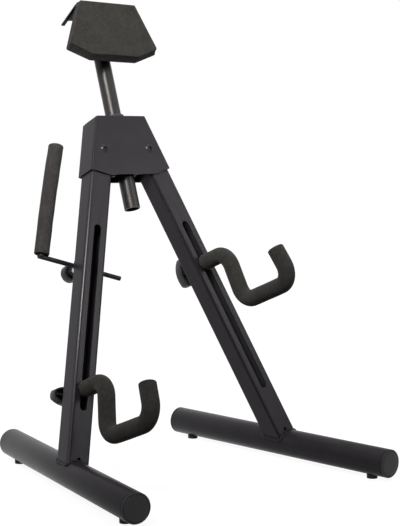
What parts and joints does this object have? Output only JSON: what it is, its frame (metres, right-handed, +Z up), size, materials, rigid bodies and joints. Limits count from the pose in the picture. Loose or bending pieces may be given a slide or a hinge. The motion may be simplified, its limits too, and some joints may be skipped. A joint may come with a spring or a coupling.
{
  "type": "a-frame guitar stand",
  "caption": "Folding A-frame guitar stand with slotted black legs, a padded head on a post, foam yokes that slide, and a foam side arm.",
  "frame": {"origin": "on the floor, under the middle of the bounding box, halfway between the legs", "axes": "+Z up, +Y toward the back of the stand, -Y the way the yokes face, +X to the right seen from the front"},
  "size_m": [0.3698, 0.3609, 0.542],
  "materials": {
    "black_coat": "satin",
    "post_coat": "satin",
    "foam": "matte",
    "knob": "satin",
    "zinc": "satin",
    "dark_steel": "satin",
    "nylon": "matte",
    "rubber": "matte"
  },
  "bodies": {
    "housing": {"housing_shell": "black_coat", "housing_cover": "black_coat", "pivot_screws": "dark_steel", "pivot_washers": "nylon", "pivot_spacers": "nylon", "pivot_nuts": "zinc", "post_guide": "nylon", "clamp_nut": "zinc"},
    "clamp": {"clamp_screw": "zinc", "clamp_knob": "knob"},
    "collar": {"post_collar": "nylon"},
    "post": {"post_tube": "post_coat", "post_plug": "nylon"},
    "head": {"tilt_bolt": "dark_steel", "tilt_nut": "zinc", "pad_bracket": "black_coat", "pad_plate": "black_coat", "pad_foam": "foam"},
    "left_leg": {"left_leg": "black_coat", "left_pivot_sleeve": "zinc", "left_base_tube": "black_coat", "left_base_weld": "black_coat", "left_base_caps": "knob", "left_feet": "rubber"},
    "right_leg": {"right_leg": "black_coat", "right_pivot_sleeve": "zinc", "right_base_tube": "black_coat", "right_base_weld": "black_coat", "right_base_caps": "knob", "right_feet": "rubber"},
    "left_carriage": {"left_yoke_shoe": "dark_steel", "left_yoke_washer": "zinc"},
    "left_yoke": {"left_yoke_stud": "zinc", "left_yoke_rod": "dark_steel", "left_yoke_foam": "foam"},
    "left_knob": {"left_yoke_knob": "knob"},
    "right_carriage": {"right_yoke_shoe": "dark_steel", "right_yoke_washer": "zinc"},
    "right_yoke": {"right_yoke_stud": "zinc", "right_yoke_rod": "dark_steel", "right_yoke_foam": "foam"},
    "right_knob": {"right_yoke_knob": "knob"},
    "arm_carriage": {"arm_shoe": "dark_steel", "arm_washer": "black_coat"},
    "arm_bolt": {"arm_bolt": "zinc"},
    "arm_bush": {"arm_bush": "nylon"},
    "arm": {"arm_rod": "black_coat", "arm_foam": "foam"},
    "arm_knob": {"arm_knob": "knob"}
  },
  "joints": [
    {"name": "left_leg_fold", "type": "hinge", "parent": "housing", "child": "left_leg", "pos_m": [-0.0315, 0.10823, 0.36303], "axis": [0, -0.9367, 0.3502], "range_deg": [0, 17.5]},
    {"name": "right_leg_fold", "type": "hinge", "parent": "housing", "child": "right_leg", "pos_m": [0.0315, 0.10823, 0.36303], "axis": [0, 0.9367, -0.3502], "range_deg": [0, 17.5]},
    {"name": "post_turn", "type": "hinge", "parent": "housing", "child": "collar", "pos_m": [0, 0.15726, 0.49417], "axis": [0, 0.3502, 0.9367], "continuous": true},
    {"name": "post_slide", "type": "slide", "parent": "collar", "child": "post", "axis": [0, 0.3502, 0.9367], "range_m": [-0.052, 0.035]},
    {"name": "pad_tilt", "type": "hinge", "parent": "post", "child": "head", "pos_m": [0, 0.15726, 0.49417], "axis": [0.9986, 0.049, -0.0183], "range_deg": [-20, 10]},
    {"name": "clamp_knob_turn", "type": "hinge", "parent": "housing", "child": "clamp", "pos_m": [0, 0.11243, 0.37428], "axis": [0, 0.9367, -0.3502], "continuous": true},
    {"name": "left_yoke_slide", "type": "slide", "parent": "left_leg", "child": "left_carriage", "axis": [0.3007, 0.334, 0.8933], "range_m": [-0.018, 0.067]},
    {"name": "left_yoke_swivel", "type": "hinge", "parent": "left_carriage", "child": "left_yoke", "pos_m": [-0.11931, 0.0107, 0.10218], "axis": [0, 0.9367, -0.3502], "range_deg": [-90, 90]},
    {"name": "left_yoke_knob_turn", "type": "hinge", "parent": "left_yoke", "child": "left_knob", "pos_m": [-0.11931, 0.0107, 0.10218], "axis": [0, 0.9367, -0.3502], "continuous": true},
    {"name": "right_yoke_slide", "type": "slide", "parent": "right_leg", "child": "right_carriage", "axis": [-0.3007, 0.334, 0.8933], "range_m": [-0.1585, 0.0495]},
    {"name": "right_yoke_swivel", "type": "hinge", "parent": "right_carriage", "child": "right_yoke", "pos_m": [0.07706, 0.05763, 0.2277], "axis": [0, -0.9367, 0.3502], "range_deg": [-90, 90]},
    {"name": "right_yoke_knob_turn", "type": "hinge", "parent": "right_yoke", "child": "right_knob", "pos_m": [0.07706, 0.05763, 0.2277], "axis": [0, 0.9367, -0.3502], "continuous": true},
    {"name": "arm_slide", "type": "slide", "parent": "left_leg", "child": "arm_carriage", "axis": [0.3007, 0.334, 0.8933], "range_m": [-0.051, 0.037]},
    {"name": "arm_swivel", "type": "hinge", "parent": "arm_carriage", "child": "arm_bolt", "pos_m": [-0.0733, 0.06181, 0.23886], "axis": [0, -0.9367, 0.3502], "range_deg": [-5, 60]},
    {"name": "arm_roll", "type": "hinge", "parent": "arm_bolt", "child": "arm_bush", "pos_m": [-0.0733, 0.08129, 0.23158], "axis": [0.9537, -0.1053, -0.2817], "range_deg": [-45, 45]},
    {"name": "arm_reach", "type": "slide", "parent": "arm_bush", "child": "arm", "axis": [0.9537, -0.1053, -0.2817], "range_m": [-0.03, 0.012]},
    {"name": "arm_knob_turn", "type": "hinge", "parent": "arm_bolt", "child": "arm_knob", "pos_m": [-0.0733, 0.06181, 0.23886], "axis": [0, 0.9367, -0.3502], "continuous": true}
  ]
}
